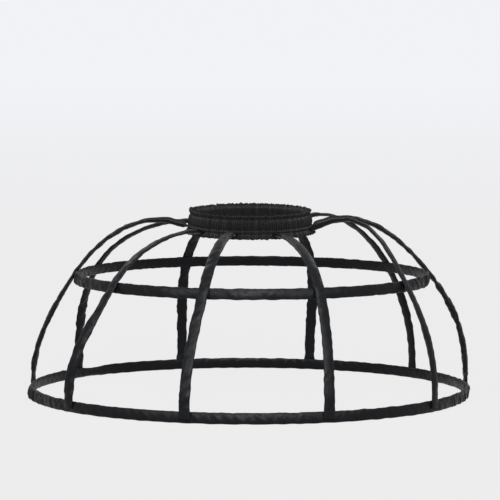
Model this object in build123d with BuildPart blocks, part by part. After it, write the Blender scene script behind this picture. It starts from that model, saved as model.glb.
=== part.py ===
from build123d import *

import os
from collections import namedtuple
from math import atan2, cos, degrees, hypot, pi, radians, sin

# Crinoline cage: a gathered waistband carries ten ribs, which curve out and down over an
# upper hoop to a lower hoop. Every rib and hoop is a flat bone inside a flattened tube of
# satin. The cage stands on its lower hoop.
# Sizes are in millimetres. The origin is on the floor at the hoops' centre, +Z is up and the
# wearer faces -Y. Azimuths are in degrees from the front, positive towards +X.

# Satin tubes and the flat bones inside them
casing_width = 20.5
casing_thickness = 4.8
casing_channel_width = 12.0      # the puffed middle, between the two rows of stitching
casing_edge_thickness = 1.6      # the stitched edges
bone_width = 10.0
bone_thickness = 1.2
fit_gap = 0.3                    # round a bone, a sleeve or the elastic
seam_gap = 0.4                   # between soft pieces that are stitched together

# Hoops, measured at the middle of their tubes
lower_hoop_radius = 427.5
lower_hoop_slant = 0.0
upper_hoop_radius = 343.0
upper_hoop_height = 233.0
upper_hoop_slant = 12.0          # its top edge leans in under the ribs
upper_hoop_shift = 6.0           # it hangs a little to +X of the lower hoop

# Crimped sleeve that joins the two ends of a hoop's bone, at the back
sleeve_length = 26.0
sleeve_wall = 0.5
bone_end_gap = 2.0
seam_azimuth = 180.0
hoop_sides = 72                  # straight runs of tube round a hoop, one of them at the sleeve

# Waistband: an oval tube of gathered satin, lower in front than behind
waist_height = 320.6             # its lower edge, at the sides
waist_shift = 1.7                # towards +X
waist_tilt = 4.5
waist_half_width = 123.5         # at the lower edge
waist_half_depth = 92.0
waist_taper = 0.068              # how much narrower it is at the upper edge
lower_frill = 10.3
narrow_channel = 6.7
wide_channel = 20.0
upper_frill = 7.5
pleats = 96
pleat_depth = 1.1                # from a gather's ridge to the middle of the satin
pleat_unevenness = 0.35
channel_puff = 1.2
frill_flare = 1.0
stitch_draw = 0.8                # how far a row of stitching pulls the satin in
lining_sides = 64
lining_inset = 5.2
lining_wall = 1.2
elastic_thickness = 1.2
elastic_margin = 0.6             # between the elastic and the stitching beside it

# Ribs
rib_reach_over_hoop = 95.0
rib_reach_above_foot = 80.0
foot_top = 30.0                  # a rib is plumb below this height
foot_end = 8.0
rib_end_tab = 6.0                # closed end of a rib's tube
rib_seam_half = 9.5              # a rib lies straight this far each side of the upper hoop
rib_steps_above = 6
rib_steps_below = 6

# Where each rib meets the waistband and the two hoops, the angle at which it leaves the
# waistband and how far it keeps to that angle, then the same for its slope below level
# where it crosses the upper hoop
Rib = namedtuple("Rib", "waist upper lower leave reach slope under")
ribs = {
    "front_left": Rib(-17.9, -15.1, -16.0, 16.2, 91.4, 50.0, 38.8),
    "front_right": Rib(30.0, 21.2, 20.2, 8.0, 75.0, 55.0, 80.0),
    "left_front": Rib(-56.5, -49.2, -51.9, 17.0, 55.0, 55.0, 95.0),
    "right_front": Rib(76.0, 57.3, 54.6, 30.0, 135.0, 55.0, 80.0),
    "left_side": Rib(-95.0, -92.0, -98.6, 25.0, 90.0, 57.5, 37.5),
    "right_side": Rib(97.0, 93.0, 97.4, 27.0, 105.0, 52.0, 90.0),
    "left_rear": Rib(-119.0, -117.0, -126.7, 5.0, 75.0, 56.0, 80.0),
    "right_rear": Rib(122.0, 128.5, 129.5, 25.0, 90.0, 55.0, 80.0),
    "back_left": Rib(-158.0, -157.5, -161.2, 12.0, 80.0, 55.0, 80.0),
    "back_right": Rib(158.0, 160.0, 163.0, 12.0, 80.0, 55.0, 80.0),
}

up = Vector(0, 0, 1)
Hoop = namedtuple("Hoop", "radius centre slant")
lower_hoop = Hoop(lower_hoop_radius, up * (casing_width / 2), lower_hoop_slant)
upper_hoop = Hoop(
    upper_hoop_radius, Vector(upper_hoop_shift, 0, upper_hoop_height), upper_hoop_slant
)
channel_thickness = bone_thickness + 2 * fit_gap
channel_width = bone_width + 2 * fit_gap
sleeve_thickness = channel_thickness + 2 * sleeve_wall
sleeve_width = channel_width + 2 * sleeve_wall
waistband_height = lower_frill + narrow_channel + wide_channel + upper_frill
wide_channel_start = lower_frill + narrow_channel
wide_channel_end = wide_channel_start + wide_channel


def outward(azimuth):
    """Level direction away from the axis."""
    return Vector(sin(radians(azimuth)), -cos(radians(azimuth)), 0)


def azimuth_of(point):
    """Azimuth of a point about the axis."""
    return degrees(atan2(point.X, -point.Y))


def casing_corners():
    """Corners of a tube's section: X is through its thickness and Y across its width."""
    edge_x, edge_y = casing_edge_thickness / 2, casing_width / 2
    side_x, side_y = casing_thickness / 2, casing_channel_width / 2
    quarter = [(edge_x, edge_y), (side_x, side_y)]
    right = quarter + [(x, -y) for x, y in reversed(quarter)]
    return right + [(-x, -y) for x, y in right]


def strip_corners(thickness, width):
    """Corners of a flat strip's section, placed as a tube's are."""
    x, y = thickness / 2, width / 2
    return [(x, y), (x, -y), (-x, -y), (-x, y)]


def hoop_plane(hoop, azimuth):
    """Plane across a hoop's tube: X leads out of its flat face and Y up the face."""
    out = outward(azimuth)
    face = out * cos(radians(hoop.slant)) + up * sin(radians(hoop.slant))
    return Plane(origin=hoop.centre + out * hoop.radius, x_dir=face, z_dir=out.cross(up))


def hoop_flat_plane(hoop):
    """Plane across a hoop's tube halfway along the straight run that holds the sleeve."""
    return hoop_plane(hoop._replace(radius=hoop.radius * cos(pi / hoop_sides)), seam_azimuth)


def half_hoop_planes(hoop, start):
    """Planes across a hoop's tube at the ends of its straight runs, half the way round."""
    turn = 360 / hoop_sides
    first = seam_azimuth + turn / 2 + start
    return [hoop_plane(hoop, first + turn * i) for i in range(hoop_sides // 2 + 1)]


def make_hoop_casing(name, hoop):
    """A hoop's satin tube, with the channel of its bone and a wider place for the sleeve."""
    with BuildPart() as casing:
        for start in (0, 180):
            with BuildSketch(*half_hoop_planes(hoop, start)):
                Polygon(*casing_corners(), align=None)
            loft(ruled=True)
        for start in (0, 180):
            with BuildSketch(*half_hoop_planes(hoop, start)):
                Polygon(*strip_corners(channel_thickness, channel_width), align=None)
            loft(ruled=True, mode=Mode.SUBTRACT)
        with BuildSketch(hoop_flat_plane(hoop)):
            Rectangle(sleeve_thickness + 2 * fit_gap, sleeve_width + 2 * fit_gap)
        extrude(amount=sleeve_length / 2 + fit_gap, both=True, mode=Mode.SUBTRACT)
    casing.part.label = name
    return casing.part


def make_hoop_bone(name, hoop):
    """A hoop's flat bone, bent round until its ends all but meet inside the sleeve."""
    with BuildPart() as bone:
        for start in (0, 180):
            with BuildSketch(*half_hoop_planes(hoop, start)):
                Polygon(*strip_corners(bone_thickness, bone_width), align=None)
            loft(ruled=True)
        with BuildSketch(hoop_flat_plane(hoop)):
            Rectangle(casing_thickness, casing_width)
        extrude(amount=bone_end_gap / 2, both=True, mode=Mode.SUBTRACT)
    bone.part.label = name
    return bone.part


def make_hoop_sleeve(name, hoop):
    """The flat metal sleeve over the two ends of a hoop's bone."""
    with BuildPart() as sleeve:
        with BuildSketch(hoop_flat_plane(hoop)):
            Rectangle(sleeve_thickness, sleeve_width)
            Rectangle(channel_thickness, channel_width, mode=Mode.SUBTRACT)
        extrude(amount=sleeve_length / 2, both=True)
    sleeve.part.label = name
    return sleeve.part


def waist_oval(height, stand=0.0):
    """Half width and half depth of the waistband at a height above its lower edge."""
    share = 1 - waist_taper * height / waistband_height
    return waist_half_width * share + stand, waist_half_depth * share + stand


def waist_level(height):
    """Plane across the waistband, which dips to the front."""
    tilt = radians(waist_tilt)
    base = Plane((waist_shift, 0, waist_height), (1, 0, 0), (0, -sin(tilt), cos(tilt)))
    return base.offset(height)


def gather_rows():
    """Height and stand of the satin at each frill's edge, channel and row of stitching."""
    return [
        (0, frill_flare),
        (lower_frill, -stitch_draw),
        (lower_frill + narrow_channel / 2, channel_puff),
        (wide_channel_start, -stitch_draw),
        (wide_channel_start + wide_channel / 4, channel_puff),
        (wide_channel_end - wide_channel / 4, channel_puff),
        (wide_channel_end, -stitch_draw),
        (waistband_height, frill_flare),
    ]


def gathered_outline(height, stand):
    """Zigzag round the waist with uneven gathers, the same at every height but for its scale."""
    scale = waist_oval(height, stand)[0] / waist_half_width
    points = []
    for i in range(2 * pleats):
        angle = pi * i / pleats
        uneven = 1 + pleat_unevenness * sin(5 * angle) * cos(23 * angle)
        ridge = pleat_depth * uneven * (1 if i % 2 else -1)
        x = (waist_half_width + ridge) * cos(angle)
        y = (waist_half_depth + ridge) * sin(angle)
        points.append((x * scale, y * scale))
    return points


def oval_outline(height, stand):
    """Plain outline round the waist."""
    half_width, half_depth = waist_oval(height, stand)
    angles = [2 * pi * i / lining_sides for i in range(lining_sides)]
    return [(half_width * cos(angle), half_depth * sin(angle)) for angle in angles]


def make_waistband():
    """Gathered satin with a plain lining, and the channel of the elastic between them."""
    channel_low = wide_channel_start + elastic_margin - fit_gap
    channel_high = wide_channel_end - elastic_margin + fit_gap
    channel_inner = lining_wall - lining_inset
    channel_outer = channel_inner + elastic_thickness + 2 * fit_gap
    with BuildPart() as waistband:
        for height, stand in gather_rows():
            with BuildSketch(waist_level(height)):
                Polygon(*gathered_outline(height, stand), align=None)
        loft(ruled=True)
        for height in (-1, waistband_height + 1):
            with BuildSketch(waist_level(height)):
                Polygon(*oval_outline(height, -lining_inset), align=None)
        loft(ruled=True, mode=Mode.SUBTRACT)
        for height in (channel_low, channel_high):
            with BuildSketch(waist_level(height)):
                Polygon(*oval_outline(height, channel_outer), align=None)
                Polygon(*oval_outline(height, channel_inner), align=None, mode=Mode.SUBTRACT)
        loft(ruled=True, mode=Mode.SUBTRACT)
    waistband.part.label = "waistband"
    return waistband.part


def make_elastic():
    """Woven elastic, joined into a ring inside the waistband's wide channel."""
    inner = lining_wall - lining_inset + fit_gap
    outer = inner + elastic_thickness
    with BuildPart() as elastic:
        for height in (wide_channel_start + elastic_margin, wide_channel_end - elastic_margin):
            with BuildSketch(waist_level(height)):
                Polygon(*oval_outline(height, outer), align=None)
                Polygon(*oval_outline(height, inner), align=None, mode=Mode.SUBTRACT)
        loft(ruled=True)
    elastic.part.label = "waist_elastic"
    return elastic.part


def waist_point(azimuth, stand):
    """Point on the waistband at a rib's height, and the direction square to the band there."""
    half_width, half_depth = waist_oval(lower_frill)
    level = waist_level(lower_frill)
    across, along = sin(radians(azimuth)), -cos(radians(azimuth))
    reach = half_width * half_depth / hypot(half_depth * across, half_width * along)
    x, y = reach * across, reach * along
    square = Vector(x / half_width**2, y / half_depth**2, 0).normalized()
    point = level.from_local_coords(Vector(x, y, 0) + square * stand)
    return point, (level.from_local_coords(square) - level.origin).normalized()


def hoop_seat(rib):
    """Middle of a rib where it lies over the upper hoop."""
    slope = radians(rib.slope)
    face = outward(rib.upper) * sin(slope) + up * cos(slope)
    plane = hoop_plane(upper_hoop, rib.upper)
    corners = [plane.from_local_coords((x, y, 0)) - plane.origin for x, y in casing_corners()]
    clear = max(corner.dot(face) for corner in corners)
    return plane.origin + face * (clear + seam_gap + casing_thickness / 2)


def rib_line(rib):
    """Middle line of a rib, in three runs: to the upper hoop, to its foot, and the foot."""
    leave = radians(rib.leave)
    ridge = pleat_depth * (1 + pleat_unevenness)
    stand = ridge + seam_gap + casing_thickness / 2 * abs(sin(leave))
    start, square = waist_point(rib.waist, stand)
    seat = hoop_seat(rib)
    foot_radius = lower_hoop.radius + casing_thickness + seam_gap
    knee = outward(rib.lower) * foot_radius + up * foot_top
    foot = outward(rib.lower) * foot_radius + up * foot_end
    out = outward(rib.upper)
    side = up.cross(out)
    course = knee - start
    skew = course.dot(side) / course.dot(out)
    slope = radians(rib.slope)
    over_hoop = ((out + side * skew) * cos(slope) - up * sin(slope)).normalized()
    with BuildLine() as line:
        Bezier(
            start,
            start + (square * cos(leave) + up * sin(leave)) * rib.reach,
            seat - over_hoop * rib_reach_over_hoop,
            seat,
        )
        Bezier(
            seat,
            seat + over_hoop * rib.under,
            knee + up * rib_reach_above_foot,
            knee,
        )
        Line(knee, foot)
    return line.wire()


def rib_plane(line, distance):
    """Plane across a rib's tube: X leads out of its outer face and Y across its width."""
    point = line.position_at(distance, position_mode=PositionMode.LENGTH)
    ahead = line.tangent_at(distance, position_mode=PositionMode.LENGTH)
    side = up.cross(outward(azimuth_of(point)))
    return Plane(origin=point, x_dir=ahead.cross(side), z_dir=ahead)


def rib_stations(line, seat, end_inset):
    """Distances along a rib: its ends, less an inset, its seam on the hoop, and even steps."""
    middle = line.param_at_point(seat) * line.length
    above, below = middle - rib_seam_half, middle + rib_seam_half
    last = line.length - end_inset
    down = [above * i / rib_steps_above for i in range(1, rib_steps_above + 1)]
    on = [below + (last - below) * i / rib_steps_below for i in range(rib_steps_below)]
    return [end_inset, *down, middle, *on, last]


def make_rib_casing(name, line, seat):
    """A rib's satin tube, closed at both ends, with the channel of its bone."""
    with BuildPart() as casing:
        for distance in [0, *rib_stations(line, seat, rib_end_tab), line.length]:
            with BuildSketch(rib_plane(line, distance)):
                Polygon(*casing_corners(), align=None)
        loft(ruled=True)
        for distance in rib_stations(line, seat, rib_end_tab):
            with BuildSketch(rib_plane(line, distance)):
                Polygon(*strip_corners(channel_thickness, channel_width), align=None)
        loft(ruled=True, mode=Mode.SUBTRACT)
    casing.part.label = name
    return casing.part


def make_rib_bone(name, line, seat):
    """A rib's flat bone."""
    with BuildPart() as bone:
        for distance in rib_stations(line, seat, rib_end_tab + fit_gap):
            with BuildSketch(rib_plane(line, distance)):
                Polygon(*strip_corners(bone_thickness, bone_width), align=None)
        loft(ruled=True)
    bone.part.label = name
    return bone.part


def write(part):
    """Write one piece to its own file."""
    export_step(part, f"parts/{part.label}.step")


def main():
    """Build every piece."""
    os.makedirs("parts", exist_ok=True)
    for name, hoop in (("lower_hoop", lower_hoop), ("upper_hoop", upper_hoop)):
        write(make_hoop_casing(f"{name}_casing", hoop))
        write(make_hoop_bone(f"{name}_bone", hoop))
        write(make_hoop_sleeve(f"{name}_sleeve", hoop))
    write(make_waistband())
    write(make_elastic())
    for place, rib in ribs.items():
        line, seat = rib_line(rib), hoop_seat(rib)
        write(make_rib_casing(f"rib_casing_{place}", line, seat))
        write(make_rib_bone(f"rib_bone_{place}", line, seat))


main()
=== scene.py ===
from math import cos, hypot, pi, radians, sin

import bpy
import numpy as np
from mathutils import Matrix, Vector


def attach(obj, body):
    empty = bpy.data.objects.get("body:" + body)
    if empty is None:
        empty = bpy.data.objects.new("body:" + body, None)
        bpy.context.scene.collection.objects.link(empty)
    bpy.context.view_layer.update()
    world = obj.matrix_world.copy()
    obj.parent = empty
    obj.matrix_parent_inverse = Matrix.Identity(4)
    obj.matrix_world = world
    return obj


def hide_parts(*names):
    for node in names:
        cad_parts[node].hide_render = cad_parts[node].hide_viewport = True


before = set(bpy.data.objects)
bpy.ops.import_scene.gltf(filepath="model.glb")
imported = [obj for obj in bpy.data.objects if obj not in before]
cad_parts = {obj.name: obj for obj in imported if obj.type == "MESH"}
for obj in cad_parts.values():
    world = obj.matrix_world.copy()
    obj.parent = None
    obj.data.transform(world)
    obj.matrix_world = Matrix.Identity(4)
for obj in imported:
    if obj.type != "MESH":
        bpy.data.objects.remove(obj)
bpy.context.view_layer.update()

bl_info = {
    "name": "Crinoline cage",
    "version": (1, 0, 0),
    "blender": (4, 5, 0),
    "location": "3D View > Sidebar > Cage",
    "description": "Satin, stitching and studio for a crinoline cage",
    "category": "Object",
}

MM = 0.001
UP = np.array([0.0, 0.0, 1.0])
FULL_TURN = 360.0
# How many sine waves make one random curve, and what brings their mean up to about 1
WAVES = 7
WAVE_GAIN = 1.6

# Where the solids stand, in millimetres and degrees, as in the part's own source
LOWER_HOOP = {"radius": 427.5, "centre": (0.0, 0.0, 10.25), "slant": 0.0}
UPPER_HOOP = {"radius": 343.0, "centre": (6.0, 0.0, 233.0), "slant": 12.0}
TUBE_THICKNESS = 4.8
TUBE_EDGE = 1.6
SEAM_GAP = 0.4
SEAM_HALF = 9.5
CASING_CORNERS = [(0.8, 10.25), (2.4, 6.0), (2.4, -6.0), (0.8, -10.25)]
REACH_OVER_HOOP = 95.0
REACH_ABOVE_FOOT = 80.0
FOOT_TOP = 30.0
FOOT_END = 8.0
BONE_INSET = 6.3
BONE_BENDS = 6
WAIST = {
    "height": 320.6, "shift": 1.7, "tilt": 4.5, "half_width": 123.5, "half_depth": 92.0,
    "taper": 0.068, "tall": 44.5,
}
STITCH_ROWS = LOW_ROW, MIDDLE_ROW, HIGH_ROW = (10.3, 17.0, 37.0)
PLEAT_RIDGE = 1.485

# Each rib: azimuths at the waistband, upper hoop and lower hoop, the angle at which it leaves
# the band and its reach, its slope at the upper hoop and the reach below it
RIBS = {
    "front_left": (-17.9, -15.1, -16.0, 16.2, 91.4, 50.0, 38.8),
    "front_right": (30.0, 21.2, 20.2, 8.0, 75.0, 55.0, 80.0),
    "left_front": (-56.5, -49.2, -51.9, 17.0, 55.0, 55.0, 95.0),
    "right_front": (76.0, 57.3, 54.6, 30.0, 135.0, 55.0, 80.0),
    "left_side": (-95.0, -92.0, -98.6, 25.0, 90.0, 57.5, 37.5),
    "right_side": (97.0, 93.0, 97.4, 27.0, 105.0, 52.0, 90.0),
    "left_rear": (-119.0, -117.0, -126.7, 5.0, 75.0, 56.0, 80.0),
    "right_rear": (122.0, 128.5, 129.5, 25.0, 90.0, 55.0, 80.0),
    "back_left": (-158.0, -157.5, -161.2, 12.0, 80.0, 55.0, 80.0),
    "back_right": (158.0, 160.0, 163.0, 12.0, 80.0, 55.0, 80.0),
}
# How a rib is twisted about its own line at the band, the upper hoop, half way down, above the
# lower hoop and at its foot, and how restless its edges are
TWISTS = {
    "front_left": (12.0, 0.0, -5.0, 3.0, 1.0, 1.0),
    "front_right": (-10.0, 0.0, 6.0, -4.0, -1.0, 1.0),
    "left_front": (-6.0, -4.0, 18.0, 30.0, 4.0, 1.2),
    "right_front": (34.0, 10.0, -2.0, 3.0, 2.0, 0.8),
    "left_side": (-12.0, 0.0, 16.0, -10.0, 0.0, 2.0),
    "right_side": (10.0, 0.0, -26.0, -12.0, 0.0, 2.4),
    "left_rear": (-5.0, 0.0, -12.0, -14.0, -2.0, 1.7),
    "right_rear": (5.0, 0.0, 7.0, -5.0, 0.0, 1.2),
    "back_left": (4.0, 0.0, -6.0, 4.0, 0.0, 1.5),
    "back_right": (-4.0, 0.0, 6.0, -4.0, 0.0, 1.5),
}

# Section of a satin tube: points round it, how flat its faces are and how square its edges
SECTION_POINTS = 32
FACE_POWER = 2.3
RIM_POWER = 16

# Room for what a tube holds: over a bone's flat and beside it, and what a sleeve adds to both
BONE_CLEAR = 0.85
BONE_REACH = 5.6
EDGE_CLEAR = 0.25
SLEEVE_BULK = 1.0
SLEEVE_REACH = 1.5
# The most degrees that a bone lets its tube twist, how much that fattens the tube, how far the
# tube eases over the bone's bends, and how near the band's two sides come to its elastic
MOST_TWIST = 14.0
TWIST_FATTENS = 1.4
BONE_EASE = 14.0
ELASTIC_LIMITS = {1: (-2.1, None), -1: (None, -4.1)}

# Layers of creases along a tube: seed, shortest and longest swell, slant, height, and what the
# cloth's pull adds to the height. Where no slant is given, it wanders with the lean.
CREASES = (
    (1, 44, 110, 1.6, 0.60, 0.0), (2, 19, 36, None, 0.58, 0.55),
    (11, 14, 26, -0.8, 0.24, -0.30), (4, 6, 10, 0.3, 0.06, 0.08),
)
PULL = (3, 34, 90)
LEAN = (10, 60, 150)
LEAN_MIDDLE, LEAN_SWAY = 0.9, 0.5
SLANT_REACH = 10.0

# Sharp creases where a tube is pulled hard: spacing, height, sharpness and the least lift
RIDGES = {"spacing": 23.0, "height": 1.3, "sharpness": 4, "least": 0.9, "wander": 2.2}

# Wander of a tube's two edges and of its line: seed, shortest and longest swell, share
EDGE_WAVES = (((5, 12, 22), 0.36), ((6, 28, 64), 0.95))
OTHER_EDGE_WAVES = (((7, 12, 22), 0.36), ((8, 28, 64), 0.95))
LINE_WAVE, LINE_SLANT, LINE_SHARE = (9, 16, 40), 0.8, 0.9
# Creases deepen with a tube's thickness up to this share of it
MOST_HOLLOW = 1.1

# Each hoop's satin: step along it, seed, flat width in metres, how much wider it is than the
# ribs and where it swells, how far it leans in and where, and the seed and size of its sway.
# A swell is an amount, an azimuth and a spread.
HOOP_SATIN = {
    "lower_hoop": {
        "hoop": LOWER_HOOP, "step": 1.25, "seed": 11, "flat_width": 0.0195,
        "wider": 2.2, "widenings": ((5.4, 78, 13), (2.4, -78, 12)),
        "lean": 6, "leanings": ((46, -131, 3.6), (-12, 84, 12), (5, -84, 9)), "sway": (43, 4),
    },
    "upper_hoop": {
        "hoop": UPPER_HOOP, "step": 1.2, "seed": 23, "flat_width": 0.0205,
        "wider": 0, "widenings": ((4.6, 80, 12), (1.6, -82, 12)),
        "lean": 0, "leanings": ((4, -84, 16), (-20, 78, 11)), "sway": (41, 3.5),
    },
}
HOOP_ENDS = ((1, 78, 13), (1, -80, 13))
HOOP_WIDTH_SEED, HOOP_WIDTH_WAVE, HOOP_WIDTH_SWAY = 60, (6, 30), 0.5
HOOP_LEAN_WAVE = (20, 60)
# How strong a hoop's creases, thickness and edges are, and what its two ends add to each
HOOP_STRENGTHS = ((0.62, 1.6), (1.08, 0.15), (0.75, 0.5))
# The sleeve over a bone's ends, and how the lower hoop's satin lifts off the floor
SLEEVE_AZIMUTH, SLEEVE_SPREAD, SLEEVE_FLAT = 180, 2.4, 2.2
FLOOR_WAVE, FLOOR_SWAY = (83, 3, 12), 0.55

# A rib's satin, in millimetres along it: its step and the seed that sets it off from its twist
RIB_STEP = 1.1
RIB_SEED = 300
RIB_WIDTH_WAVE, RIB_WIDTH_SWAY = (16, 50), 0.6
RIB_TWIST_WAVE, RIB_TWIST_SWAY, RIB_TWIST_END = (45, 120), 4.0, 60
TWIST_ABOVE_FOOT, TWIST_AT_FOOT = 42, 12
LOOP_NARROWING, LOOP_REACH = 0.37, 82
TIP_NARROWING, TIP_REACH = 0.06, 22
FOOT_SPREAD, FOOT_PLACE, FOOT_REACH = 1.6, -6, 9
END_CLOSING = 7.0
ENDS_HOLLOW = 0.55
PUFF = {"all": 1.18, "restless": 0.30, "edge_on": 0.14, "loop": 0.5, "place": 22, "reach": 26}
RIB_LIFT, LIFT_LOST_ON_HOOP, ON_HOOP_REACH = 0.78, 0.3, 9
ENDS_LIFT = 0.45
UNREST_POWER = 0.6
# A rib is calmer from the band to just above the upper hoop than from just below it on
CALM, CALM_ABOVE, CALM_BELOW = 0.6, 25, 35
RIB_FLAT_WIDTH = 0.0205

# Rows up the outside and down the inside of the waistband: height, how far the satin stands
# out, and how much of the gathers' depth it has
OUTER_ROWS = (
    (0.0, 1.1, 1.35), (1.2, 1.2, 1.3), (4.0, 0.8, 1.2), (7.5, 0.2, 1.05), (9.3, -0.4, 0.85),
    (LOW_ROW, -0.7, 0.6), (11.2, -0.2, 0.85), (12.4, 0.4, 1.1), (13.6, 0.6, 1.2),
    (14.8, 0.4, 1.1), (16.0, -0.2, 0.85), (MIDDLE_ROW, -0.7, 0.6), (18.0, -0.2, 0.85),
    (20.0, 0.5, 1.15), (23.0, 0.8, 1.25), (27.0, 0.9, 1.25), (31.0, 0.8, 1.25),
    (34.0, 0.5, 1.15), (36.0, -0.2, 0.85), (HIGH_ROW, -0.7, 0.6), (38.0, -0.4, 0.75),
    (39.6, 0.2, 1.05), (42.0, 0.7, 1.2), (43.6, 1.0, 1.3), (WAIST["tall"], 0.9, 1.3),
)
INNER_ROWS = (
    (WAIST["tall"], -0.5, 1.3), (43.4, -0.7, 1.25), (40.0, -1.9, 1.0), (HIGH_ROW, -4.1, 0.5),
    (34.0, -5.2, 0.8), (27.0, -5.8, 0.9), (20.0, -5.2, 0.8), (MIDDLE_ROW, -4.1, 0.5),
    (13.6, -3.6, 0.8), (LOW_ROW, -2.4, 0.5), (6.0, -1.3, 1.0), (1.4, -0.4, 1.25),
    (0.0, -0.3, 1.35),
)
WAIST_FLAT = (0.052, 1.02)
# Random curves round the waistband: seed, shortest and longest swell in degrees, and their size
DRIFT_WAVE, DRIFT_SWAY, DRIFT_TURNS = (71, 6, 30), 0.8, 2.6
DEPTH_WAVE, DEPTH_SWAY = (72, 3, 11), 0.42
LEAN_SEED, LEAN_ROWS, LEAN_WAVE, GATHER_LEAN = 80, 3, (4, 18), 0.55
SLACK_WAVE, SLACK_SWAY = (95, 4, 14), 1.1
FINE_SEED, FINE_WAVE, FINE_SWAY = 99, (0.8, 2.4), 0.15
EDGE_TUFTS = (((97, 1.6, 4), 0.6), ((98, 4, 14), 1.2))
# Where the frill flares and where its edge stands up, from the band's right side round the back
FLARES = ((2.4, 8, 14), (1.2, 184, 10))
TUFTS = ((2.6, 177, 3.5), (1.2, 172, 12))
# One gather: its points, how far it leans, how crisp it is, and how it differs inside the band
POINTS_A_GATHER = 10
LEAN_ALL_OVER = 0.5
INSIDE_SHIFT = 0.35
CRISP_POWER = 0.82
INSIDE_DEPTH = 0.8
UPPER_HALF = 20
LOWER_EDGE_SHARE = -0.7

# Stitching: lengths and widths in millimetres, or as shares of a stitch or of a tube's width
STITCH_CUTS = (-0.3, 0.3)
STITCH_END, STITCH_END_SHARE, STITCH_END_DIP = 0.45, 0.55, 0.75
THREAD_SHOWS = 0.86
EDGE_ROW = 0.86
TACK_WIDTH = 0.84
TACK_STITCH = 0.8
TACKS_BY_HOOP = (-6.5, -5.2, 5.2, 6.5)
TACKS_AT_FOOT = (15, 4)
BAND_STITCHES, BAND_STITCH_LENGTH, BAND_THREAD = 270, 2.2, 1.15
BAND_STITCH_DEPTH = -0.35

# The studio, in metres, degrees and watts: each lamp's place, width and height, and power
CAMERA_PLACE = (0.0017, -6.723, 0.8788)
CAMERA_LENS = 248.08
CAMERA_SENSOR = 36.0
CAMERA_SIGHT = 200.0
CAMERA_DIP = 5.042
CAMERA_ROLL = 0.132
WORLD_LIGHT = (0.92, 0.95, 1.0, 1)
WORLD_STRENGTH = 0.22
LAMP_AIM = (0, 0, 0.2)
LAMPS = (
    ("left_softbox", (-2.9, -3.2, 2.5), (1.8, 2.2), 44.0),
    ("right_softbox", (2.7, -3.4, 2.3), (1.8, 2.2), 31.0),
    ("front_softbox", (0.2, -5.0, 2.3), (2.6, 1.6), 112.0),
    ("top_softbox", (0.0, -2.3, 3.7), (2.2, 1.6), 54.0),
    ("back_left_softbox", (-2.2, 2.9, 3.6), (2.0, 1.6), 20.0),
    ("back_right_softbox", (2.2, 2.9, 3.6), (2.0, 1.6), 22.0),
)
FLOOR_SIZE = 160
FLOOR_DROP = -0.0004
FLOOR_SEEN = 0.93
GLOSS_SHARE = 0.4
FADE_START = -2.0
FADE_END = 16.0


class CageSizes(bpy.types.PropertyGroup):
    tube_width: bpy.props.FloatProperty(
        name="Tube width", description="Width of the flattened satin tubes",
        default=0.0212, unit="LENGTH",
    )
    crease_depth: bpy.props.FloatProperty(
        name="Crease depth", description="Depth of the slanting creases along the tubes",
        default=0.00085, unit="LENGTH",
    )
    edge_pucker: bpy.props.FloatProperty(
        name="Edge pucker", description="How far the sewn edges wave in and out",
        default=0.00080, unit="LENGTH",
    )
    gathers: bpy.props.IntProperty(
        name="Gathers", description="Gathers round the waistband", default=168,
    )
    gather_depth: bpy.props.FloatProperty(
        name="Gather depth", description="From a gather's ridge to the middle of the satin",
        default=0.00135, unit="LENGTH",
    )
    stitch_length: bpy.props.FloatProperty(
        name="Stitch length", description="Length of one machine stitch",
        default=0.0030, unit="LENGTH",
    )
    thread_width: bpy.props.FloatProperty(
        name="Thread width", description="Width of the sewing thread",
        default=0.00032, unit="LENGTH",
    )


class CageColours(bpy.types.PropertyGroup):
    satin: bpy.props.FloatVectorProperty(
        name="Satin", description="Colour of the satin", subtype="COLOR", size=3,
        default=(0.0064, 0.0068, 0.0082), min=0, max=1,
    )
    # Painted sheen: the waistband is the same black satin, drawn about twice as light to stand in
    # for the sheen its gathers catch
    sheen_on_gathers: bpy.props.FloatVectorProperty(
        name="Gathered satin", description="Colour of the satin seen along its gathers",
        subtype="COLOR", size=3, default=(0.0140, 0.0138, 0.0150), min=0, max=1,
    )
    thread: bpy.props.FloatVectorProperty(
        name="Thread", description="Colour of the sewing thread", subtype="COLOR", size=3,
        default=(0.014, 0.014, 0.015), min=0, max=1,
    )
    bone: bpy.props.FloatVectorProperty(
        name="Bone", description="Colour of the bones in the tubes", subtype="COLOR", size=3,
        default=(0.72, 0.71, 0.66), min=0, max=1,
    )
    backdrop: bpy.props.FloatVectorProperty(
        name="Backdrop", description="Colour of the floor round the cage", subtype="COLOR",
        size=3, default=(0.876, 0.874, 0.871), min=0, max=1,
    )
    distance: bpy.props.FloatVectorProperty(
        name="Distance", description="Colour of the backdrop far behind the cage",
        subtype="COLOR", size=3, default=(0.942, 0.948, 0.986), min=0, max=1,
    )


class Value:
    """A value inside a material, so that sums on it are written as they are read."""

    def __init__(self, finish, socket):
        self.finish = finish
        self.socket = socket

    def maths(self, operation, first, second=0.0):
        return self.finish.node("ShaderNodeMath", {"operation": operation}, (first, second))

    def __add__(self, other):
        return self.maths("ADD", self, other)

    def __radd__(self, other):
        return self.maths("ADD", other, self)

    def __sub__(self, other):
        return self.maths("SUBTRACT", self, other)

    def __rsub__(self, other):
        return self.maths("SUBTRACT", other, self)

    def __mul__(self, other):
        return self.maths("MULTIPLY", self, other)

    def __rmul__(self, other):
        return self.maths("MULTIPLY", other, self)

    def wave(self):
        """From -1 to 1, once in each full turn of the value in radians."""
        return self.maths("SINE", self)


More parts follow.
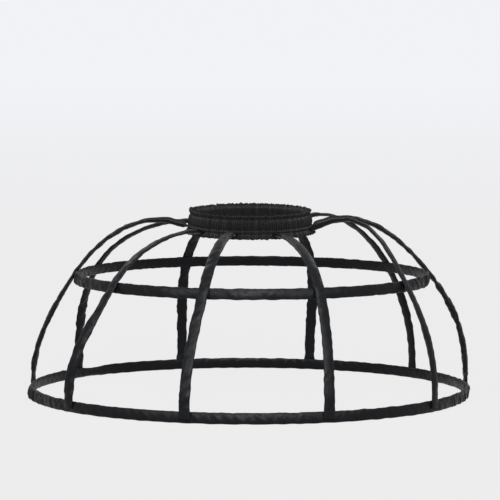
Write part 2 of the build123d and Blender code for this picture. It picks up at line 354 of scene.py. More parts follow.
class Finish:
    """A material, or the world, and the nodes that make it."""

    def __init__(self, holder):
        holder.use_nodes = True
        self.holder = holder
        self.nodes = holder.node_tree.nodes
        self.links = holder.node_tree.links
        self.nodes.clear()

    def node(self, kind, settings, inputs, output=0):
        """Add a node of that kind, with its settings and what goes into its sockets."""
        made = self.nodes.new(kind)
        for name, setting in settings.items():
            setattr(made, name, setting)
        pairs = inputs.items() if isinstance(inputs, dict) else enumerate(inputs)
        for name, given in pairs:
            if isinstance(given, Value):
                self.links.new(given.socket, made.inputs[name])
            else:
                made.inputs[name].default_value = given
        return Value(self, made.outputs[output]) if made.outputs else None

    def place(self):
        """Where a point of the surface is, in metres."""
        return self.node("ShaderNodeTexCoord", {}, {}, "Object")

    def part_of(self, vector, axis):
        """The X, Y or Z of a vector."""
        return self.node("ShaderNodeSeparateXYZ", {}, (vector,), axis)

    def mottle(self, size, detail=2.0):
        """Soft patches about that many metres across."""
        return self.node(
            "ShaderNodeTexNoise", {}, {"Vector": self.place(), "Scale": 1 / size, "Detail": detail}
        )

    def mix(self, share, first, second):
        """Go from the first colour to the second."""
        settings = {"data_type": "RGBA"}
        return self.node("ShaderNodeMix", settings, {0: share, 6: first, 7: second}, 2)

    def bump(self, height, depth):
        """Surface normal for a height that varies, depth metres from low to high."""
        return self.node("ShaderNodeBump", {}, {"Height": height, "Distance": depth})

    def seen(self, camera_share):
        """How much of the plain backdrop a ray meets: the camera's, a glossy one, any other."""
        camera, glossy, through = (
            self.node("ShaderNodeLightPath", {}, {}, f"Is {kind} Ray")
            for kind in ("Camera", "Glossy", "Transmission")
        )
        return camera * camera_share + (glossy + through) * GLOSS_SHARE

    def done(self, shader, kind="Material"):
        """Show that shader, and give back the material or the world."""
        self.node(f"ShaderNodeOutput{kind}", {}, {"Surface": shader})
        return self.holder

    def surface(self, **inputs):
        """Finish with a plastic, cloth or metal surface."""
        named = {name.replace("_", " "): value for name, value in inputs.items()}
        return self.done(self.node("ShaderNodeBsdfPrincipled", {}, named))


def new_finish(name):
    """An empty material of that name."""
    return Finish(bpy.data.materials.new(name))


def lighter(colour, times):
    """The colour, brighter or darker, as a node's colour."""
    return (*(min(1.0, channel * times) for channel in colour), 1)


def once_in(metres):
    """Turns what a wave reads into radians, for a wave of that length."""
    return 2 * pi / metres


def satin_finish(name, satin, gloss, shine):
    """Black satin: long floats across the strip, over finer threads, with soft wear."""
    finish = new_finish(name)
    uv = finish.node("ShaderNodeUVMap", {"uv_map": "cloth"}, {})
    ahead, across = finish.part_of(uv, "X"), finish.part_of(uv, "Y")
    floats = (across * once_in(0.00042) + ahead * once_in(0.0021)).wave()
    threads = (ahead * once_in(0.00036)).wave()
    weave = (floats * 0.30 + 0.5) + threads * 0.12
    patches = finish.mottle(0.028, 3.0)
    streaks = finish.mottle(0.006, 4.0)
    colour = finish.mix(patches, lighter(satin, 0.72), lighter(satin, 1.38))
    colour = finish.mix(weave * 0.22, colour, lighter(satin, 2.1))
    roughness = gloss + patches * 0.07 + streaks * 0.08
    height = weave * 0.16 + streaks * 0.84
    return finish.surface(
        Base_Color=colour, Roughness=roughness, Normal=finish.bump(height, 0.00015),
        Specular_IOR_Level=shine,
    )


def thread_finish(colours):
    """Twisted polyester sewing thread."""
    finish = new_finish("black_thread")
    patches = finish.mottle(0.004, 2.0)
    colour = finish.mix(patches, lighter(colours.thread, 0.75), lighter(colours.thread, 1.6))
    twist = finish.node(
        "ShaderNodeTexWave", {"wave_type": "BANDS", "bands_direction": "DIAGONAL"},
        {"Vector": finish.place(), "Scale": 900.0, "Distortion": 0.4},
    )
    return finish.surface(
        Base_Color=colour, Roughness=0.36 + patches * 0.14, Normal=finish.bump(twist, 0.00005),
    )


def bone_finish(colours):
    """Matt plastic bone, drawn lengthwise."""
    finish = new_finish("plastic_bone")
    patches = finish.mottle(0.012, 3.0)
    scratches = finish.mottle(0.0012, 5.0)
    colour = finish.mix(patches, lighter(colours.bone, 0.86), lighter(colours.bone, 1.1))
    return finish.surface(
        Base_Color=colour, Roughness=0.46 + scratches * 0.16,
        Normal=finish.bump(scratches, 0.00004),
    )


def sleeve_finish():
    """Crimped steel sleeve, brushed and a little dull."""
    finish = new_finish("steel_sleeve")
    brushing = finish.mottle(0.0007, 6.0)
    patches = finish.mottle(0.009, 2.0)
    colour = finish.mix(patches, (0.46, 0.46, 0.45, 1), (0.63, 0.63, 0.62, 1))
    return finish.surface(
        Base_Color=colour, Metallic=1.0, Roughness=0.28 + brushing * 0.22,
        Normal=finish.bump(brushing, 0.00003),
    )


def elastic_finish():
    """Woven elastic: ribs across the band over rubber threads."""
    finish = new_finish("woven_elastic")
    cords = (finish.part_of(finish.place(), "Z") * once_in(0.0013)).wave()
    fuzz = finish.mottle(0.0008, 4.0)
    colour = finish.mix(fuzz, (0.012, 0.012, 0.012, 1), (0.040, 0.040, 0.041, 1))
    return finish.surface(
        Base_Color=colour, Roughness=0.72 + fuzz * 0.14,
        Normal=finish.bump(cords * 0.6 + fuzz * 0.4, 0.0002),
    )


def backdrop_finish(colours):
    """Pale floor: a plain colour to the camera and to gloss, with the cage's soft shadow."""
    finish = new_finish("pale_backdrop")
    grain = finish.mottle(0.9, 2.0)
    colour = finish.mix(grain, lighter(colours.backdrop, 0.985), (*colours.backdrop, 1))
    back = finish.part_of(finish.place(), "Y")
    fade = finish.node(
        "ShaderNodeMapRange", {"interpolation_type": "SMOOTHSTEP"},
        {"Value": back, "From Min": FADE_START, "From Max": FADE_END},
    )
    colour = finish.mix(fade, colour, (*colours.distance, 1))
    shade = finish.mix(0.5, colour, (0.0, 0.0, 0.0, 1))
    lit = finish.node("ShaderNodeBsdfDiffuse", {}, {"Color": shade, "Roughness": 0.9})
    flat = finish.node("ShaderNodeEmission", {}, {"Color": colour, "Strength": 1.0})
    shader = finish.node("ShaderNodeMixShader", {}, (finish.seen(FLOOR_SEEN), lit, flat))
    return finish.done(shader)


def studio_world(colours):
    """Dim light from all round, which the camera and some of the gloss see as backdrop."""
    finish = Finish(bpy.data.worlds.new("studio"))
    dim = finish.node(
        "ShaderNodeBackground", {}, {"Color": WORLD_LIGHT, "Strength": WORLD_STRENGTH}
    )
    pale = finish.node("ShaderNodeBackground", {}, {"Color": (*colours.backdrop, 1)})
    shader = finish.node("ShaderNodeMixShader", {}, (finish.seen(1.0), dim, pale))
    return finish.done(shader, "World")


def waves(seed, low, high, around=0):
    """A smooth random curve, mostly from -1 to 1, whose swells are low to high units long.

    With a length to go around, the curve meets itself after it."""
    draw = np.random.default_rng(seed)
    if around:
        fewest, most = max(1, int(around / high)), max(2, int(around / low))
        turns, lengths = draw.integers(fewest, most + 1, WAVES), [around] * WAVES
    else:
        turns, lengths = [1] * WAVES, draw.uniform(low, high, WAVES)
    phases = draw.uniform(0, 2 * pi, WAVES)
    shares = draw.uniform(0.5, 1.0, WAVES)

    def curve(place):
        total = sum(
            share * np.sin(2 * pi * place * turn / length + phase)
            for turn, length, phase, share in zip(turns, lengths, phases, shares)
        )
        return total / shares.sum() * WAVE_GAIN

    return curve


def keyed(place, marks, levels):
    """Smooth steps from one level to the next at the marked places."""
    result = np.full(np.shape(place), float(levels[0]))
    for start, end, low, high in zip(marks, marks[1:], levels, levels[1:]):
        share = np.clip((place - start) / (end - start), 0, 1)
        result += (high - low) * share * share * (3 - 2 * share)
    return result


def bump_at(place, middle, spread):
    """1 at the middle, falling smoothly to 0 on both sides of it."""
    return np.exp(-0.5 * ((place - middle) / spread) ** 2)


def falling(place, reach):
    """1 at the start, falling smoothly to 0 past the reach."""
    return np.exp(-((place / reach) ** 2))


def swell(azimuths, middle, spread):
    """1 at one azimuth, falling smoothly to 0 on both sides of it."""
    return bump_at((azimuths - middle + 180) % FULL_TURN, 180, spread)


def with_swells(azimuths, level, swells):
    """The level, with a swell of each amount at each azimuth, as wide as its spread."""
    for amount, middle, spread in swells:
        level = level + amount * swell(azimuths, middle, spread)
    return level


def outward(azimuths):
    """Level direction away from the axis, at one azimuth in degrees or at each of many."""
    turn = np.radians(azimuths)
    return np.stack([np.sin(turn), -np.cos(turn), 0 * turn], -1)


def unit(vectors):
    """Each vector at length 1."""
    return vectors / np.linalg.norm(vectors, axis=-1, keepdims=True)


def place_of(points):
    """Distance along a line of points, at each of them."""
    steps = np.linalg.norm(np.diff(points, axis=0), axis=1)
    return np.concatenate([[0], np.cumsum(steps)])


def along(line, far, places):
    """Points, or directions, of a line at those distances along it."""
    return np.stack([np.interp(places, far, line[:, axis]) for axis in range(3)], -1)


def section():
    """Round a flattened tube: the outward and sideways share of each point."""
    side = np.cos(np.linspace(0, pi, SECTION_POINTS // 2 + 1))
    rim_share = TUBE_EDGE / TUBE_THICKNESS
    lens = rim_share + (1 - rim_share) * (1 - np.abs(side) ** FACE_POWER)
    rim = np.sqrt(np.clip(1 - np.abs(side) ** RIM_POWER, 0, 1))
    thick = lens * rim
    out = np.concatenate([thick, -thick[-2:0:-1]])
    across = np.concatenate([side, side[-2:0:-1]])
    return out, across


def creased_tube(seed, place, around, lift, hollow, unrest):
    """Height of the creases at each ring and section point, and the wander of both edges."""
    sizes = bpy.context.scene.cage_sizes
    out, across = section()
    across = across[None, :]
    length, lift = place[:, None], lift[:, None]

    def swells(number, low, high):
        return waves(seed + number, low, high, around)

    face = np.where(out >= 0, 1.0, -1.0)[None, :]
    slant = across * SLANT_REACH
    pull = swells(*PULL)(length)
    lean = LEAN_MIDDLE + LEAN_SWAY * swells(*LEAN)(length)
    height = 0
    for number, low, high, leaning, level, pulled in CREASES:
        leaning = lean if leaning is None else leaning
        layer = swells(number, low, high)(length + face * slant * leaning)
        height = height + layer * (level + pulled * pull)
    beat = (length + face * slant * lean) * (2 * pi / RIDGES["spacing"])
    beat = beat + pull * RIDGES["wander"]
    sharp = np.exp(RIDGES["sharpness"] * (np.sin(beat) - 1))
    height = height + sharp * np.clip(lift - RIDGES["least"], 0, 1) * RIDGES["height"]
    fade = (1 - np.abs(across) ** 6) ** 0.5
    height = height * fade * sizes.crease_depth / MM * lift
    gather, other = (
        sum(swells(*given)(length) * share for given, share in listed)
        for listed in (EDGE_WAVES, OTHER_EDGE_WAVES)
    )
    edge = np.where(across > 0, gather, other) * np.abs(across) ** 3
    wave = swells(*LINE_WAVE)(length + slant * LINE_SLANT) * np.abs(across) ** 2
    pucker = sizes.edge_pucker / MM * np.broadcast_to(unrest, place.shape)[:, None]
    height = height * np.minimum(hollow, MOST_HOLLOW)[:, None]
    return height, edge * pucker, wave * pucker * LINE_SHARE


def lay_tube(
    points, faces, sides, width, twist, seed, around, lift, hollow, unrest, bulk=0.0, sag=0.0
):
    """Rings of points, in millimetres, of a creased satin tube along a line of frames.

    The bone inside lets the middle twist a little; its loose edges take the rest. The bulk
    is 1 where the tube also holds a sleeve, and 0 where it holds the bone alone. The sag is
    how far the bone stands outside the tube's middle line."""
    place = place_of(points)
    bulk = np.broadcast_to(bulk, place.shape)[:, None]
    sag = np.broadcast_to(sag, place.shape)[:, None]
    core = np.clip(twist, -MOST_TWIST, MOST_TWIST)
    turn, curl = np.radians(core)[:, None], np.radians(twist - core)
    faces, sides = (
        faces * np.cos(turn) + sides * np.sin(turn), sides * np.cos(turn) - faces * np.sin(turn)
    )
    out, across = section()
    hollow = hollow * (1 + TWIST_FATTENS * np.abs(np.sin(turn[:, 0])))
    height, edge, wave = creased_tube(seed, place, around, lift, hollow, unrest)
    thick = TUBE_THICKNESS / 2 * hollow[:, None] * out[None, :]
    away = thick + np.sign(out)[None, :] * height + wave
    level = (width[:, None] / 2) * across[None, :] + np.sign(across)[None, :] * edge
    narrowest = (BONE_REACH + EDGE_CLEAR + bulk * SLEEVE_REACH) * np.abs(across)[None, :]
    level = np.sign(level) * np.maximum(np.abs(level), narrowest)
    clear = BONE_CLEAR + bulk * SLEEVE_BULK + np.abs(level * np.tan(turn))
    over_bone = np.abs(level) < BONE_REACH + bulk * SLEEVE_REACH
    outer, inner = clear + np.clip(sag, 0, None), clear - np.clip(sag, None, 0)
    away = np.where(over_bone & (out >= 0), np.maximum(away, outer), away)
    away = np.where(over_bone & (out < 0), np.minimum(away, -inner), away)
    loose = np.sign(level) * np.clip(np.abs(level) - BONE_REACH, 0, None)
    away = away - loose * np.sin(curl)[:, None]
    level = level - loose * (1 - np.cos(curl))[:, None]
    return points[:, None] + faces[:, None] * away[..., None] + sides[:, None] * level[..., None]


def link_mesh(name, points, faces):
    """A smooth mesh from points in millimetres, as an object in the scene."""
    mesh = bpy.data.meshes.new(name)
    mesh.from_pydata((points * MM).tolist(), [], faces)
    mesh.polygons.foreach_set("use_smooth", np.ones(len(faces), bool))
    piece = bpy.data.objects.new(name, mesh)
    bpy.context.scene.collection.objects.link(piece)
    return piece


def cloth_object(name, rings, closed, round_size):
    """Mesh of a closed ring of rings, or of a tube with both ends sewn shut."""
    count, across = rings.shape[:2]
    middles = rings.mean(axis=1)
    lengths = place_of(np.concatenate([middles, middles[:1]]) if closed else middles) * MM
    rounds = np.linspace(0, round_size, across + 1)
    rows = count if closed else count - 1
    i, j = np.meshgrid(np.arange(rows), np.arange(across), indexing="ij")
    next_i, next_j = (i + 1) % count, (j + 1) % across
    corners = ((i, j), (next_i, j), (next_i, next_j), (i, next_j))
    quads = np.stack([a * across + b for a, b in corners], axis=-1).reshape(-1, 4)
    spots = ((i, j), (i + 1, j), (i + 1, j + 1), (i, j + 1))
    uv = np.stack([np.stack([lengths[a], rounds[b]], -1) for a, b in spots], axis=-2)
    uv = uv.reshape(-1, 4, 2)
    points = rings.reshape(-1, 3)
    a, b, c = points[quads[:, 0]], points[quads[:, 1]], points[quads[:, 2]]
    if (a * np.cross(b, c)).sum() < 0:
        quads, uv = quads[:, ::-1], uv[:, ::-1]
    faces = [tuple(quad) for quad in quads.tolist()]
    places = uv.reshape(-1, 2)
    if not closed:
        turned = quads[0][1] < across
        for ring, start in ((0, 0), (rows, rows * across)):
            cap = list(range(start, start + across))
            if (ring == 0) != turned:
                cap = cap[::-1]
            faces += [tuple(cap)]
            ends = np.stack([np.full(across, lengths[ring]), np.zeros(across)], -1)
            places = np.concatenate([places, ends])
    piece = link_mesh(name, points, faces)
    layer = piece.data.uv_layers.new(name="cloth")
    layer.data.foreach_set("uv", places.astype(np.float32).ravel())
    piece.data.validate()
    piece.data.update()
    return piece


def satin_piece(
    name, rings, closed, flat, replaced, finish="black_satin"
):
    """A finished satin piece: dressed, riding on the cage and in place of its solid."""
    piece = cloth_object(name, rings, closed, 2 * flat[0])
    piece.data.materials.append(bpy.data.materials[finish])
    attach(piece, "root")
    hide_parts(replaced)


def hoop_frames(hoop, azimuths):
    """Points, outward faces and upward sides round a hoop, at those azimuths in degrees."""
    out, lean = outward(azimuths), radians(hoop["slant"])
    faces = out * cos(lean) + UP * sin(lean)
    sides = UP * cos(lean) - out * sin(lean)
    return np.array(hoop["centre"]) + out * hoop["radius"], faces, sides


def hoop_lean(satin, azimuths):
    """How much further than its bone a hoop's tube leans in, as the ribs pull it."""
    number, sway = satin["sway"]
    lean = with_swells(azimuths, satin["lean"], satin["leanings"])
    return lean + sway * waves(number, *HOOP_LEAN_WAVE, FULL_TURN)(azimuths)


def stand_on_floor(rings, azimuths, over_sleeve):
    """Draw in what hangs below the lower hoop's bone, so that the hoop stands on the floor."""
    middle = LOWER_HOOP["centre"][2]
    held = BONE_REACH + SLEEVE_REACH * over_sleeve
    below = np.clip(middle - rings[..., 2] - held[:, None], 0, None)
    sway = waves(*FLOOR_WAVE, FULL_TURN)(azimuths)
    lift_off = FLOOR_SWAY * np.clip(1 + sway, 0, None)
    drawn = np.minimum(1, (middle - lift_off - held) / below.max(axis=1))
    rings[..., 2] += below * (1 - drawn)[:, None]


def band_size(height):
    """Half the width and half the depth of the waistband at that height on it."""
    taper = 1 - WAIST["taper"] * height / WAIST["tall"]
    return WAIST["half_width"] * taper, WAIST["half_depth"] * taper


def waist_seat(azimuth, leave):
    """Where a rib starts on the waistband, and the direction square to the band there."""
    wide, deep = band_size(LOW_ROW)
    across, ahead, _ = outward(azimuth)
    reach = wide * deep / hypot(deep * across, wide * ahead)
    x, y = reach * across, reach * ahead
    square = unit(np.array([x / wide**2, y / deep**2, 0.0]))
    stand = PLEAT_RIDGE + SEAM_GAP + TUBE_THICKNESS / 2 * abs(sin(leave))
    point = on_band(np.array([[x, y, LOW_ROW]]) + square * stand)[0]
    return point, unit(on_band(square[None])[0] - on_band(np.zeros((1, 3)))[0])


def on_band(points):
    """From the waistband's own level plane, which dips to the front, to the frame."""
    tilt = radians(WAIST["tilt"])
    x, y, z = points[..., 0], points[..., 1], points[..., 2]
    return np.stack(
        [
            x + WAIST["shift"], y * cos(tilt) - z * sin(tilt),
            WAIST["height"] + y * sin(tilt) + z * cos(tilt),
        ],
        axis=-1,
    )


def rib_line(name):
    """Line of a rib as the solids have it, distances along it and where it meets the hoop."""
    waist, upper, lower, leave, reach, slope, under = RIBS[name]
    start, square = waist_seat(waist, radians(leave))
    out, fall = outward(upper), radians(slope)
    face = out * sin(fall) + UP * cos(fall)
    on_hoop, hoop_face, hoop_side = hoop_frames(UPPER_HOOP, upper)
    clear = max(np.dot(x * hoop_face + y * hoop_side, face) for x, y in CASING_CORNERS)
    seat = on_hoop + face * (clear + SEAM_GAP + TUBE_THICKNESS / 2)
    foot_out = outward(lower) * (LOWER_HOOP["radius"] + TUBE_THICKNESS + SEAM_GAP)
    knee, foot = foot_out + UP * FOOT_TOP, foot_out + UP * FOOT_END
    side = np.cross(UP, out)
    course = knee - start
    skew = course.dot(side) / course.dot(out)
    over = unit((out + side * skew) * cos(fall) - UP * sin(fall))
    leaving = start + (square * cos(radians(leave)) + UP * sin(radians(leave))) * reach
    bends = (
        (start, leaving, seat - over * REACH_OVER_HOOP, seat),
        (seat, seat + over * under, knee + UP * REACH_ABOVE_FOOT, knee),
    )
    steps = 400
    share = np.linspace(0, 1, steps)[:, None]
    rest = 1 - share
    runs = [
        rest**3 * a + 3 * rest**2 * share * b + 3 * rest * share**2 * c + share**3 * d
        for a, b, c, d in bends
    ]
    line = np.concatenate([runs[0][:-1], runs[1][:-1], [knee, foot]])
    far = place_of(line)
    return line, far, far[steps - 1]


def bone_marks(middle, last):
    """Distances along a rib at which its bone bends; it is straight between them."""
    above, below, end = middle - SEAM_HALF, middle + SEAM_HALF, last - BONE_INSET
    down = [above * step / BONE_BENDS for step in range(1, BONE_BENDS + 1)]
    on = [below + (end - below) * step / BONE_BENDS for step in range(BONE_BENDS)]
    return np.array([BONE_INSET, *down, middle, *on, end])


def follow_bone(place, points, faces, middle, last):
    """Move a tube's line smoothly towards its bone, and say how far the bone stands off it."""
    marks = bone_marks(middle, last)
    bone = along(along(points, place, marks), marks, place)
    stands = ((bone - points) * faces).sum(-1)
    stands[(place < marks[0]) | (place > marks[-1])] = 0
    window = np.hanning(2 * int(BONE_EASE / RIB_STEP) + 1)
    padded = np.pad(stands, len(window) // 2, mode="edge")
    eased = np.convolve(padded, window / window.sum(), "valid")
    return points + faces * eased[:, None], stands - eased


def rib_calm(place, middle):
    """Share of its restlessness that a rib has along it: less above the upper hoop."""
    return keyed(place, (0, middle - CALM_ABOVE, middle + CALM_BELOW), (CALM, CALM, 1))


def rib_twist(name, place, middle, last):
    """Degrees that a rib's tube is turned about its line."""
    *levels, unrest = TWISTS[name]
    half_way = (middle + last) / 2
    marks = (0, middle, half_way, last - TWIST_ABOVE_FOOT, last - TWIST_AT_FOOT)
    wander = waves(sum(map(ord, name)), *RIB_TWIST_WAVE)(place) * RIB_TWIST_SWAY
    ending = np.clip((last - place) / RIB_TWIST_END, 0, 1)
    return keyed(place, marks, levels) + wander * unrest * rib_calm(place, middle) * ending


def rib_width(place, last, seed):
    """Width along a rib: a narrow loop at the band, and a little spread over its foot."""
    width = bpy.context.scene.cage_sizes.tube_width / MM
    width = width + waves(seed, *RIB_WIDTH_WAVE)(place) * RIB_WIDTH_SWAY
    loop = LOOP_NARROWING * falling(place, LOOP_REACH)
    tip = TIP_NARROWING * falling(place, TIP_REACH)
    return width * (1 - loop - tip) + FOOT_SPREAD * bump_at(place - last, FOOT_PLACE, FOOT_REACH)


def rib_hollow(name, place, closing):
    """Thickness along a rib: fuller where it is restless or seen on edge, thin at its ends."""
    edge_on = abs(sin(radians(RIBS[name][0])))
    restless = PUFF["restless"] * (TWISTS[name][-1] - 1)
    puffed = PUFF["all"] + (restless + PUFF["edge_on"] * edge_on) * closing
    puffed = puffed + PUFF["loop"] * edge_on * falling(place - PUFF["place"], PUFF["reach"])
    opening = closing * closing * (3 - 2 * closing)
    return (ENDS_HOLLOW + (1 - ENDS_HOLLOW) * opening) * puffed


def rib_tube(name):
    """Rings of a rib's satin, its distances along, the upper hoop's place on it and its end."""
    line, far, middle = rib_line(name)
    last = far[-1]
    place = np.linspace(0, last, int(last / RIB_STEP) + 1)
    points = along(line, far, place)
    ahead = unit(np.gradient(points, place, axis=0))
    level = np.cross(UP, unit(points * [1, 1, 0]))
    faces = unit(np.cross(ahead, level))
    sides = np.cross(faces, ahead)
    points, sag = follow_bone(place, points, faces, middle, last)
    seed = sum(map(ord, name)) + RIB_SEED
    closing = np.clip(np.minimum(place, last - place) / END_CLOSING, 0, 1)
    unrest = TWISTS[name][-1] * rib_calm(place, middle)
    lift = RIB_LIFT - LIFT_LOST_ON_HOOP * bump_at(place, middle, ON_HOOP_REACH)
    lift = lift * (ENDS_LIFT + (1 - ENDS_LIFT) * closing) * unrest**UNREST_POWER
    rings = lay_tube(
        points, faces, sides, rib_width(place, last, seed), rib_twist(name, place, middle, last),
        seed, 0.0, lift, rib_hollow(name, place, closing), unrest, sag=sag,
    )
    return rings, place, middle, last


def gathered_rings(sizes):
    """Rings of the waistband's satin, up its outside and down its inside, at each step round."""
    tall = WAIST["tall"]
    count = sizes.gathers * POINTS_A_GATHER
    angle = np.arange(count) * 2 * pi / count
    turn = np.degrees(angle)

    def swells(number, low, high):
        return waves(number, low, high, FULL_TURN)(turn)

    drift = swells(*DRIFT_WAVE) * DRIFT_SWAY
    pleat = sizes.gathers * angle + drift * DRIFT_TURNS
    depth = 1 + DEPTH_SWAY * swells(*DEPTH_WAVE)
    slack_wave = swells(*SLACK_WAVE) * SLACK_SWAY
    edge = sum(swells(*given) * share for given, share in EDGE_TUFTS)
    edge = edge + with_swells(turn, 0, TUFTS)
    rows = []
    for side, listed in ((1, OUTER_ROWS), (-1, INNER_ROWS)):
        for row, (height, stand, share) in enumerate(listed):
            lean = swells(LEAN_SEED + row // LEAN_ROWS, *LEAN_WAVE) * GATHER_LEAN
            frill = max(0.0, 1 - height / LOW_ROW)
            frill += max(0.0, (height - HIGH_ROW) / (tall - HIGH_ROW))
            slack = slack_wave * frill + frill * with_swells(turn, 0, FLARES)
            shift = INSIDE_SHIFT if side < 0 else 0
            fold = np.sin(pleat + lean * (LEAN_ALL_OVER + frill) + shift)
            crisp = np.sign(fold) * np.abs(fold) ** CRISP_POWER
            ridge = crisp * depth * share * sizes.gather_depth / MM
            fine = swells(FINE_SEED + row, *FINE_WAVE) * FINE_SWAY
            reach = stand + ridge * (1 if side > 0 else INSIDE_DEPTH) + slack + fine
            if MIDDLE_ROW <= height <= HIGH_ROW:
                reach = np.clip(reach, *ELASTIC_LIMITS[side])
            lift = height + edge * frill**2 * (1 if height > UPPER_HALF else LOWER_EDGE_SHARE)
            wide, deep = band_size(height)
            x, y = (wide + reach) * np.cos(angle), (deep + reach) * np.sin(angle)
            rows.append(on_band(np.stack([x, y, lift], -1)))
    return np.stack(rows, axis=1)


def stitch_pattern():
    """One stitch, modelled once: its points in stitch lengths and thread widths, and faces."""
    bpy.ops.object.select_all(action="DESELECT")
    bpy.ops.mesh.primitive_cylinder_add(
        vertices=5, radius=0.5, depth=1.0, end_fill_type="NGON", rotation=(0, pi / 2, 0)
    )
    stitch = bpy.context.object
    bpy.ops.object.transform_apply(rotation=True)
    bpy.ops.object.mode_set(mode="EDIT")
    for cut in STITCH_CUTS:
        bpy.ops.mesh.select_all(action="SELECT")
        bpy.ops.mesh.bisect(plane_co=(cut, 0, 0), plane_no=(1, 0, 0))
    bpy.ops.object.mode_set(mode="OBJECT")
    mesh = stitch.data
    points = np.array([vertex.co for vertex in mesh.vertices])
    faces = [tuple(face.vertices) for face in mesh.polygons]
    bpy.data.objects.remove(stitch)
    bpy.data.meshes.remove(mesh)
    ends = np.abs(points[:, 0]) > STITCH_END
    points[ends, 1:] *= STITCH_END_SHARE
    points[:, 2] -= np.where(ends, STITCH_END_DIP, 0.0)
    return points, faces


def sew(name, rows, length, width):
    """One mesh of stitches, each at its place, along its row and proud of the cloth."""
    pattern, faces = stitch_pattern()
    places, aheads, outs = (np.concatenate(parts) for parts in zip(*rows))
    aheads, outs = unit(aheads), unit(outs)
    across = np.cross(outs, aheads)
    points = (
        places[:, None]
        + aheads[:, None] * (pattern[:, 0] * length)[None, :, None]
        + across[:, None] * (pattern[:, 1] * width)[None, :, None]
        + outs[:, None] * (pattern[:, 2] * width)[None, :, None]
    ).reshape(-1, 3)
    starts = range(0, len(places) * len(pattern), len(pattern))
    every = [tuple(start + corner for corner in face) for start in starts for face in faces]
    piece = link_mesh(name, points, every)
    piece.data.update()
    piece.data.materials.append(bpy.data.materials["black_thread"])
    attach(piece, "root")


def facing_out(spots, middles, ahead, beside):
    """Directions square to both, turned to point away from the tube's middle."""
    square = np.cross(ahead, beside)
    return square * np.sign(((spots - middles) * square).sum(-1, keepdims=True))


def edge_stitches(rings, length):
    """Places, rows' directions and outward directions of stitches near a tube's two edges."""
    out, across = section()
    far = place_of(rings[:, 0])
    places = np.arange(length, far[-1] - length, length)
    front = np.where(out > 0)[0]
    found = []
    for wanted in (EDGE_ROW, -EDGE_ROW):
        column = front[np.argmin(np.abs(across[front] - wanted))]
        row = rings[:, column]
        spots = along(row, far, places)
        near = along(rings[:, column - 1], far, places)
        way = np.stack([np.gradient(row[:, axis], far) for axis in range(3)], -1)
        ahead = along(way, far, places)
        middles = along(rings.mean(1), far, places)
        found.append((spots, ahead, facing_out(spots, middles, ahead, near - spots)))
    return found


def tack_rows(rings, rows, length):
    """Places, directions and outward directions of stitches across a tube at those rings."""
    out, across = section()
    front = np.where((out > 0) & (np.abs(across) < TACK_WIDTH))[0]
    found = []
    for row in rows:
        line = rings[row, front]
        far = place_of(line)
        places = np.arange(length / 2, far[-1], length)
        spots = along(line, far, places)
        ahead = np.tile(line[-1] - line[0], (len(places), 1))
        beside = rings[row + 1].mean(0) - rings[row - 1].mean(0)
        found.append((spots, ahead, facing_out(spots, rings[row].mean(0), ahead, beside)))
    return found


def band_stitches():
    """Places, directions and outward directions of the stitches in the waistband's rows."""
    turn = np.linspace(0, 2 * pi, BAND_STITCHES, endpoint=False)
    found = []
    for height in STITCH_ROWS:
        wide, deep = band_size(height)
        flat = np.stack([wide * np.cos(turn), deep * np.sin(turn), 0 * turn + height], -1)
        out = unit(np.stack([np.cos(turn) / wide, np.sin(turn) / deep, 0 * turn], -1))
        places = on_band(flat + out * BAND_STITCH_DEPTH)
        outs = on_band(out) - on_band(np.zeros(3))
        found.append((places, np.roll(places, -1, 0) - np.roll(places, 1, 0), outs))
    return found


class CAGE_OT_finishes(bpy.types.Operator):
    """Make the satin, thread, bone, steel and elastic, and dress the pieces inside the tubes"""

    bl_idname = "cage.finishes"
    bl_label = "Finishes"

    def execute(self, context):
        colours = context.scene.cage_colours
        satin_finish("black_satin", colours.satin, 0.27, 0.18)
        # The waistband's satin gets the lighter colour, which is painted sheen on its gathers
        satin_finish("satin_with_painted_sheen", colours.sheen_on_gathers, 0.30, 0.20)
        thread_finish(colours)
        inner = {
            "bone": bone_finish(colours), "sleeve": sleeve_finish(), "elastic": elastic_finish(),
        }
        for name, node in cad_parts.items():
            for kind, material in inner.items():
                if kind in name.split("_"):
                    for place in node.material_slots:
                        place.material = material
        return {"FINISHED"}


class CAGE_OT_hoops(bpy.types.Operator):
    """Lay the creased satin tubes of both hoops, with the stitching along their edges"""

    bl_idname = "cage.hoops"
    bl_label = "Hoops"

    def execute(self, context):
        sizes = context.scene.cage_sizes
        stitch, thread = sizes.stitch_length / MM, sizes.thread_width / MM
        for name, satin in HOOP_SATIN.items():
            seed, around = satin["seed"], 2 * pi * satin["hoop"]["radius"]
            count = int(around / satin["step"])
            azimuths = np.arange(count) * FULL_TURN / count + SLEEVE_AZIMUTH
            ends = with_swells(azimuths, 0, HOOP_ENDS)
            over_sleeve = swell(azimuths, SLEEVE_AZIMUTH, SLEEVE_SPREAD) * SLEEVE_FLAT
            over_sleeve = np.clip(over_sleeve, 0, 1)
            wander = waves(seed + HOOP_WIDTH_SEED, *HOOP_WIDTH_WAVE, FULL_TURN)(azimuths)
            width = sizes.tube_width / MM + wander * HOOP_WIDTH_SWAY
            width += with_swells(azimuths, satin["wider"], satin["widenings"])
            lift, hollow, unrest = (level + added * ends for level, added in HOOP_STRENGTHS)
            rings = lay_tube(
                *hoop_frames(satin["hoop"], azimuths), width, hoop_lean(satin, azimuths), seed,
                around, lift, hollow, unrest, over_sleeve,
            )
            if name == "lower_hoop":
                stand_on_floor(rings, azimuths, over_sleeve)
            satin_piece(
                f"{name}_satin", rings, True, (satin["flat_width"], round(around * MM, 3)),
                f"{name}_casing",
            )
            seams = edge_stitches(rings, stitch)
            sew(f"{name}_stitches", seams, stitch * THREAD_SHOWS, thread)
        return {"FINISHED"}


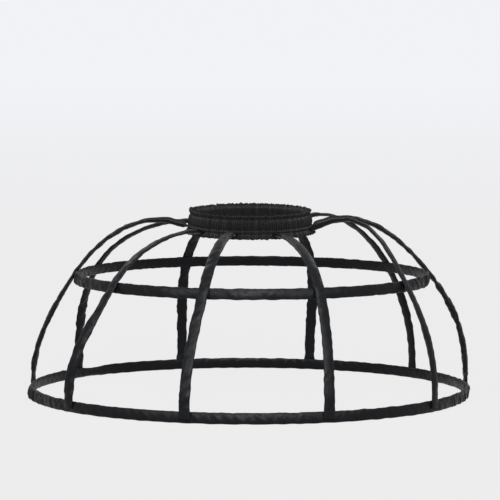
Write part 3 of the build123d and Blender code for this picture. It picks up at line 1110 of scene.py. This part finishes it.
class CAGE_OT_ribs(bpy.types.Operator):
    """Lay the creased satin tubes of the ribs, with the stitching along their edges"""

    bl_idname = "cage.ribs"
    bl_label = "Ribs"

    def execute(self, context):
        sizes = context.scene.cage_sizes
        stitch, thread = sizes.stitch_length / MM, sizes.thread_width / MM
        seams = []
        for name in RIBS:
            rings, place, middle, last = rib_tube(name)
            satin_piece(
                f"rib_{name}_satin", rings, False, (RIB_FLAT_WIDTH, round(last * MM, 3)),
                f"rib_casing_{name}",
            )
            tacked = [middle + away for away in TACKS_BY_HOOP]
            tacked += [last - above for above in TACKS_AT_FOOT]
            rows = np.searchsorted(place, tacked)
            seams += edge_stitches(rings, stitch)
            seams += tack_rows(rings, rows, stitch * TACK_STITCH)
        sew("rib_stitches", seams, stitch * THREAD_SHOWS, thread)
        return {"FINISHED"}


class CAGE_OT_waistband(bpy.types.Operator):
    """Gather the waistband over its elastic, with frilled edges and rows of stitching"""

    bl_idname = "cage.waistband"
    bl_label = "Waistband"

    def execute(self, context):
        sizes = context.scene.cage_sizes
        # The band's satin carries the lighter colour of painted sheen
        satin_piece(
            "waistband_satin", gathered_rings(sizes), True, WAIST_FLAT,
            "waistband", "satin_with_painted_sheen",
        )
        thread = sizes.thread_width / MM * BAND_THREAD
        sew("waistband_stitches", band_stitches(), BAND_STITCH_LENGTH, thread)
        return {"FINISHED"}


class CAGE_OT_studio(bpy.types.Operator):
    """Set the floor, the soft lights and the camera"""

    bl_idname = "cage.studio"
    bl_label = "Studio"

    def execute(self, context):
        scene = context.scene
        scene.view_settings.view_transform = "Standard"
        bpy.ops.object.select_all(action="DESELECT")
        bpy.ops.mesh.primitive_plane_add(size=1, location=(0, 0, FLOOR_DROP))
        floor = context.object
        floor.name = "floor"
        for vertex in floor.data.vertices:
            vertex.co *= FLOOR_SIZE
        floor.data.materials.append(backdrop_finish(scene.cage_colours))
        scene.world = studio_world(scene.cage_colours)
        for name, place, size, watts in LAMPS:
            lamp = bpy.data.lights.new(name, "AREA")
            lamp.shape = "RECTANGLE"
            lamp.size, lamp.size_y = size
            lamp.energy = watts
            holder = bpy.data.objects.new(name, lamp)
            holder.location = place
            aim = Vector(LAMP_AIM) - Vector(place)
            holder.rotation_euler = aim.to_track_quat("-Z", "Y").to_euler()
            scene.collection.objects.link(holder)
        lens = bpy.data.cameras.new("camera")
        lens.sensor_width = CAMERA_SENSOR
        lens.lens = CAMERA_LENS
        lens.clip_end = CAMERA_SIGHT
        camera = bpy.data.objects.new("camera", lens)
        camera.location = CAMERA_PLACE
        tip = Matrix.Rotation(radians(90 - CAMERA_DIP), 4, "X")
        roll = Matrix.Rotation(radians(CAMERA_ROLL), 4, "Z")
        camera.rotation_euler = (tip @ roll).to_euler()
        scene.collection.objects.link(camera)
        scene.camera = camera
        return {"FINISHED"}


STEPS = (
    CAGE_OT_studio, CAGE_OT_finishes, CAGE_OT_hoops, CAGE_OT_ribs, CAGE_OT_waistband,
)


class CAGE_PT_panel(bpy.types.Panel):
    """Lists the steps of the cage"""

    bl_label = "Crinoline cage"
    bl_idname = "CAGE_PT_panel"
    bl_space_type = "VIEW_3D"
    bl_region_type = "UI"
    bl_category = "Cage"

    def draw(self, context):
        for step in STEPS:
            self.layout.operator(step.bl_idname)


CLASSES = (CageSizes, CageColours, *STEPS, CAGE_PT_panel)


def register():
    for kind in CLASSES:
        bpy.utils.register_class(kind)
    bpy.types.Scene.cage_sizes = bpy.props.PointerProperty(type=CageSizes)
    bpy.types.Scene.cage_colours = bpy.props.PointerProperty(type=CageColours)


def unregister():
    del bpy.types.Scene.cage_colours
    del bpy.types.Scene.cage_sizes
    for kind in reversed(CLASSES):
        bpy.utils.unregister_class(kind)


def main():
    """Make the whole cage."""
    register()
    bpy.ops.cage.studio()
    bpy.ops.cage.finishes()
    bpy.ops.cage.hoops()
    bpy.ops.cage.ribs()
    bpy.ops.cage.waistband()


if __name__ == "__main__":
    main()
